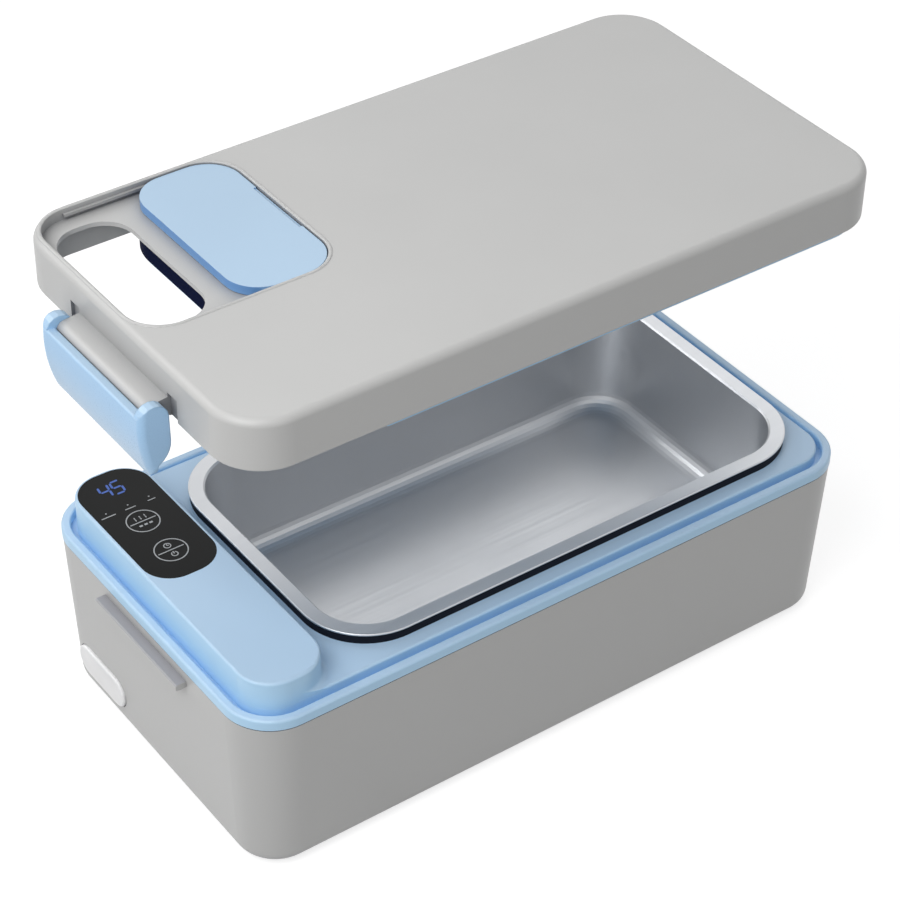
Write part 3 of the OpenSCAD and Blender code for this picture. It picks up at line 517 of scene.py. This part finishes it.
baseGrey = mouldedPlastic("baseGrey", "ridgeGrey", 0.4, **greyMoulding)  # its level faces are the catch ridges, and their darker grey is painted shade


def finishNodes():
    for part in frame["record"]["subparts"]:
        materials = nodes[part["node"]].data.materials
        materials.clear()
        materials.append(finishes[part["material_slot"]])
    nodes["base_shell"].data.materials[0] = baseGrey


finishNodes()
print("finishes placed:", len(finishes) + 1)


def linkObject(name, data):
    thing = bpy.data.objects.new(name, data)
    bpy.context.scene.collection.objects.link(thing)
    return thing


panel = {
    "printThickness": 0.04 * mm,
    "digits": "45",
    "digitHeight": 6.6 * mm,
    "digitWidth": 3.4 * mm,
    "digitPitch": 4.7 * mm,
    "digitSlant": 0.12,
    "segmentWidth": 0.8 * mm,
    "segmentGap": 0.16 * mm,
    "digitsX": -106.0 * mm,
    "digitsY": 51.8 * mm,
    "digitGlow": 0.25,
    "marksY": 39.6 * mm,
    "marks": ((-114.0 * mm, 5.4 * mm), (-105.6 * mm, 4.0 * mm), (-97.4 * mm, 3.0 * mm)),  # middle and length
    "markWidth": 0.4 * mm,
    "dotRise": 1.9 * mm,
    "dotRadius": 0.28 * mm,
    "dotFill": 0.95,
    "keyX": -105.6 * mm,
    "heatKeyY": 31.3 * mm,
    "powerKeyY": 13.2 * mm,
    "keyRadius": 5.85 * mm,
    "lineWidth": 0.4 * mm,
    "barInset": 1.0 * mm,
}
heatSign = {
    "wavePitch": 1.9 * mm,
    "waveArcs": ((-0.55 * mm, 1.45 * mm, -45), (0.55 * mm, 2.55 * mm, 135)),  # across, up and first angle
    "waveSweep": 90,
    "waveRadius": 0.75 * mm,
    "waveWidth": 0.36 * mm,
    "dashDrop": 2.0 * mm,
    "dashHalf": 0.6 * mm,
    "dashWidth": 0.8 * mm,
}
powerSign = {
    "clockRise": 2.5 * mm,
    "clockRadius": 1.35 * mm,
    "clockWidth": 0.34 * mm,
    "longHand": 0.8 * mm,
    "shortHand": 0.6 * mm,
    "handWidth": 0.3 * mm,
    "ringDrop": 2.4 * mm,
    "ringRadius": 1.25 * mm,
    "ringWidth": 0.36 * mm,
    "ringStart": 118,
    "ringEnd": 422,
    "strokeTop": 1.0 * mm,
    "strokeEnd": 2.2 * mm,
    "strokeWidth": 0.4 * mm,
}
segmentsOf = {"4": "bcfg", "5": "acdfg"}  # lit in a seven segment figure


def flatPiece(name, outlines, material):
    # one piece of thin raised shapes on the window, each outline a closed list of (x, y) in metres
    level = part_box("display_window")[1].z
    mesh = bmesh.new()
    for outline in outlines:
        low = [mesh.verts.new((x, y, level)) for x, y in outline]
        high = [mesh.verts.new((x, y, level + panel["printThickness"])) for x, y in outline]
        count = len(outline)
        mesh.faces.new(list(reversed(low)))
        mesh.faces.new(high)
        for i in range(count):
            j = (i + 1) % count
            mesh.faces.new((low[i], low[j], high[j], high[i]))
    bmesh.ops.recalc_face_normals(mesh, faces=mesh.faces)
    data = bpy.data.meshes.new(name)
    mesh.to_mesh(data)
    mesh.free()
    piece = linkObject(name, data)
    data.materials.append(material)
    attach(piece, "base")


def barOutline(x0, y0, x1, y1, width, pointed=0.0):
    # a bar between two points, with pointed ends like a display segment
    start, end = Vector((x0, y0)), Vector((x1, y1))
    along = (end - start).normalized()
    side = Vector((-along.y, along.x)) * width / 2
    tip = along * pointed
    if pointed:
        corners = (start, start + tip + side, end - tip + side, end, end - tip - side, start + tip - side)
    else:
        corners = (start + side, end + side, end - side, start - side)
    return [tuple(corner) for corner in corners]


def ringOutlines(x, y, radius, width, start=0.0, end=360.0, *, steps):
    # a ring or an arc as short quads
    made = []
    for i in range(steps):
        low = math.radians(start + (end - start) * i / steps)
        high = math.radians(start + (end - start) * (i + 1) / steps)
        corners = ((radius, low), (radius, high), (radius - width, high), (radius - width, low))
        made.append([(x + reach * math.cos(turn), y + reach * math.sin(turn)) for reach, turn in corners])
    return made


def digitOutlines(figure, x, y):
    w, h = panel["digitWidth"] / 2, panel["digitHeight"] / 2
    width = panel["segmentWidth"]
    ends = {
        "a": (-w, h, w, h), "b": (w, h, w, 0), "c": (w, 0, w, -h),
        "d": (-w, -h, w, -h), "f": (-w, h, -w, 0), "g": (-w, 0, w, 0),
    }
    made = []
    for key in segmentsOf[figure]:
        x0, y0, x1, y1 = ends[key]
        gap = Vector((x1 - x0, y1 - y0)).normalized() * panel["segmentGap"]
        bar = barOutline(x0 + gap.x, y0 + gap.y, x1 - gap.x, y1 - gap.y, width, width / 2)
        made.append([(x + barX + barY * panel["digitSlant"], y + barY) for barX, barY in bar])
    return made


def keyOutlines(y):
    # the ring of a touch key and the bar across it
    x, reach = panel["keyX"], panel["keyRadius"] - panel["barInset"]
    shapes = ringOutlines(x, y, panel["keyRadius"], panel["lineWidth"], steps=64)
    shapes.append(barOutline(x - reach, y, x + reach, y, panel["lineWidth"]))
    return shapes


def heatOutlines(y):
    # three rising waves over a row of dashes
    s = heatSign
    shapes = []
    for place in (-1, 0, 1):
        x = panel["keyX"] + place * s["wavePitch"]
        for across, rise, first in s["waveArcs"]:
            arc = (s["waveRadius"], s["waveWidth"], first, first + s["waveSweep"])
            shapes += ringOutlines(x + across, y + rise, *arc, steps=8)
        level = y - s["dashDrop"]
        shapes.append(barOutline(x - s["dashHalf"], level, x + s["dashHalf"], level, s["dashWidth"]))
    return shapes


def powerOutlines(y):
    # a clock over an open ring with a stroke
    s = powerSign
    x, clockY = panel["keyX"], y + s["clockRise"]
    shapes = ringOutlines(x, clockY, s["clockRadius"], s["clockWidth"], steps=24)
    shapes.append(barOutline(x, clockY, x, clockY + s["longHand"], s["handWidth"]))
    shapes.append(barOutline(x, clockY, x + s["shortHand"], clockY, s["handWidth"]))
    ring = (s["ringRadius"], s["ringWidth"], s["ringStart"], s["ringEnd"])
    shapes += ringOutlines(x, y - s["ringDrop"], *ring, steps=24)
    shapes.append(barOutline(x, y - s["strokeTop"], x, y - s["strokeEnd"], s["strokeWidth"]))
    return shapes


def printPanel():
    p = panel
    blue = panelInk("digitBlue", "digitBlue", p["digitGlow"])
    white = panelInk("printWhite", "printWhite")
    digits = []
    middle = (len(p["digits"]) - 1) / 2
    for i, figure in enumerate(p["digits"]):
        digits += digitOutlines(figure, p["digitsX"] + (i - middle) * p["digitPitch"], p["digitsY"])
    flatPiece("display_digits", digits, blue)

    marks = []
    for x, length in p["marks"]:
        marks.append(barOutline(x - length / 2, p["marksY"], x + length / 2, p["marksY"], p["markWidth"]))
        marks += ringOutlines(x, p["marksY"] + p["dotRise"], p["dotRadius"], p["dotRadius"] * p["dotFill"], steps=12)
    flatPiece("display_marks", marks, white)
    flatPiece("heat_key_print", keyOutlines(p["heatKeyY"]) + heatOutlines(p["heatKeyY"]), white)
    flatPiece("power_key_print", keyOutlines(p["powerKeyY"]) + powerOutlines(p["powerKeyY"]), white)


printPanel()
print("panel printed")


studio = {
    "worldLight": 0.42,
    "floorHalf": 3.0,
    "floorDrop": 0.2 * mm,
    "floorGrey": 0.5,
    "floorRoughness": 0.9,
    "floorSpecular": 0.1,
    "floorGlow": 0.74,
    "lamps": {  # place, target, size in metres, power in watts
        "keyLight": ((-0.52, -0.2, 0.66), (0, 0, 0.08), 0.55, 3.3),
        "rimLight": ((-0.8, 1.25, 1.15), (0, 0, 0.1), 0.5, 4.0),
        "backLight": ((1.2, 1.2, 1.2), (0, 0, 0.08), 1.2, 2.5),
    },
}
cameraView = {
    "lens": 108.67,
    "sensor": 36,
    "clip": (0.05, 20),
    "azimuth": -36.25,
    "elevation": 38.23,
    "roll": 0.98,
    "distance": 0.98734,
    "across": -0.00034,
    "up": 0.0653,
}


def plainlySeen(tree):
    # 1 for camera, mirror and glass rays, 0 for the light that reaches the object
    path = addNode(tree, "ShaderNodeLightPath").outputs
    seen = mathNode(tree, "MAXIMUM", path["Is Camera Ray"], path["Is Glossy Ray"])
    return mathNode(tree, "MAXIMUM", seen, path["Is Transmission Ray"])


def buildWorld():
    world = bpy.data.worlds.new("studio")
    bpy.context.scene.world = world
    world.use_nodes = True
    tree = world.node_tree
    light = tree.nodes["Background"]
    setInputs(light, Color=plainWhite, Strength=studio["worldLight"])
    white = addNode(tree, "ShaderNodeBackground")
    setInputs(white, Color=plainWhite, Strength=1.0)
    mix = addNode(tree, "ShaderNodeMixShader")
    tree.links.new(plainlySeen(tree), mix.inputs[0])
    tree.links.new(light.outputs[0], mix.inputs[1])
    tree.links.new(white.outputs[0], mix.inputs[2])
    tree.links.new(mix.outputs[0], tree.nodes["World Output"].inputs[0])


def buildFloor():
    half, level, grey = studio["floorHalf"], -studio["floorDrop"], studio["floorGrey"]
    corners = [(x * half, y * half, level) for x, y in ((-1, -1), (1, -1), (1, 1), (-1, 1))]
    mesh = bpy.data.meshes.new("floor")
    mesh.from_pydata(corners, [], [(0, 1, 2, 3)])
    floor = linkObject("floor", mesh)
    material, tree, shader = newMaterial("floorPaper")
    setInputs(shader, **{
        "Base Color": (grey, grey, grey, 1), "Roughness": studio["floorRoughness"],
        "Specular IOR Level": studio["floorSpecular"],
    })
    glow = addNode(tree, "ShaderNodeEmission")
    setInputs(glow, Color=plainWhite)
    tree.links.new(mathNode(tree, "MULTIPLY", plainlySeen(tree), studio["floorGlow"]), glow.inputs["Strength"])
    both = addNode(tree, "ShaderNodeAddShader")
    tree.links.new(shader.outputs[0], both.inputs[0])
    tree.links.new(glow.outputs[0], both.inputs[1])
    tree.links.new(both.outputs[0], tree.nodes["Material Output"].inputs["Surface"])
    mesh.materials.append(material)


def hangLamp(name, place, target, size, power):
    data = bpy.data.lights.new(name, "AREA")
    data.shape = "SQUARE"
    data.size = size
    data.energy = power
    lamp = linkObject(name, data)
    lamp.location = place
    lamp.rotation_euler = (Vector(target) - Vector(place)).to_track_quat("-Z", "Y").to_euler()


def placeCamera():
    c = cameraView
    azimuth, elevation = math.radians(c["azimuth"]), math.radians(c["elevation"])
    flat = math.cos(elevation)
    back = Vector((math.sin(azimuth) * flat, -math.cos(azimuth) * flat, math.sin(elevation)))
    right = Vector((0, 0, 1)).cross(back).normalized()
    up = back.cross(right)
    roll = Matrix.Rotation(math.radians(c["roll"]), 3, back)
    right, up = roll @ right, roll @ up
    data = bpy.data.cameras.new("camera")
    data.lens = c["lens"]
    data.sensor_width = c["sensor"]
    data.clip_start, data.clip_end = c["clip"]
    camera = linkObject("camera", data)
    turned = Matrix((right, up, back)).transposed().to_4x4()
    turned.translation = right * c["across"] + up * c["up"] + back * c["distance"]
    camera.matrix_world = turned
    bpy.context.scene.camera = camera


buildWorld()
buildFloor()
for lampName, settings in studio["lamps"].items():
    hangLamp(lampName, *settings)
placeCamera()
bpy.context.scene.view_settings.view_transform = "Standard"
print("stage ready")
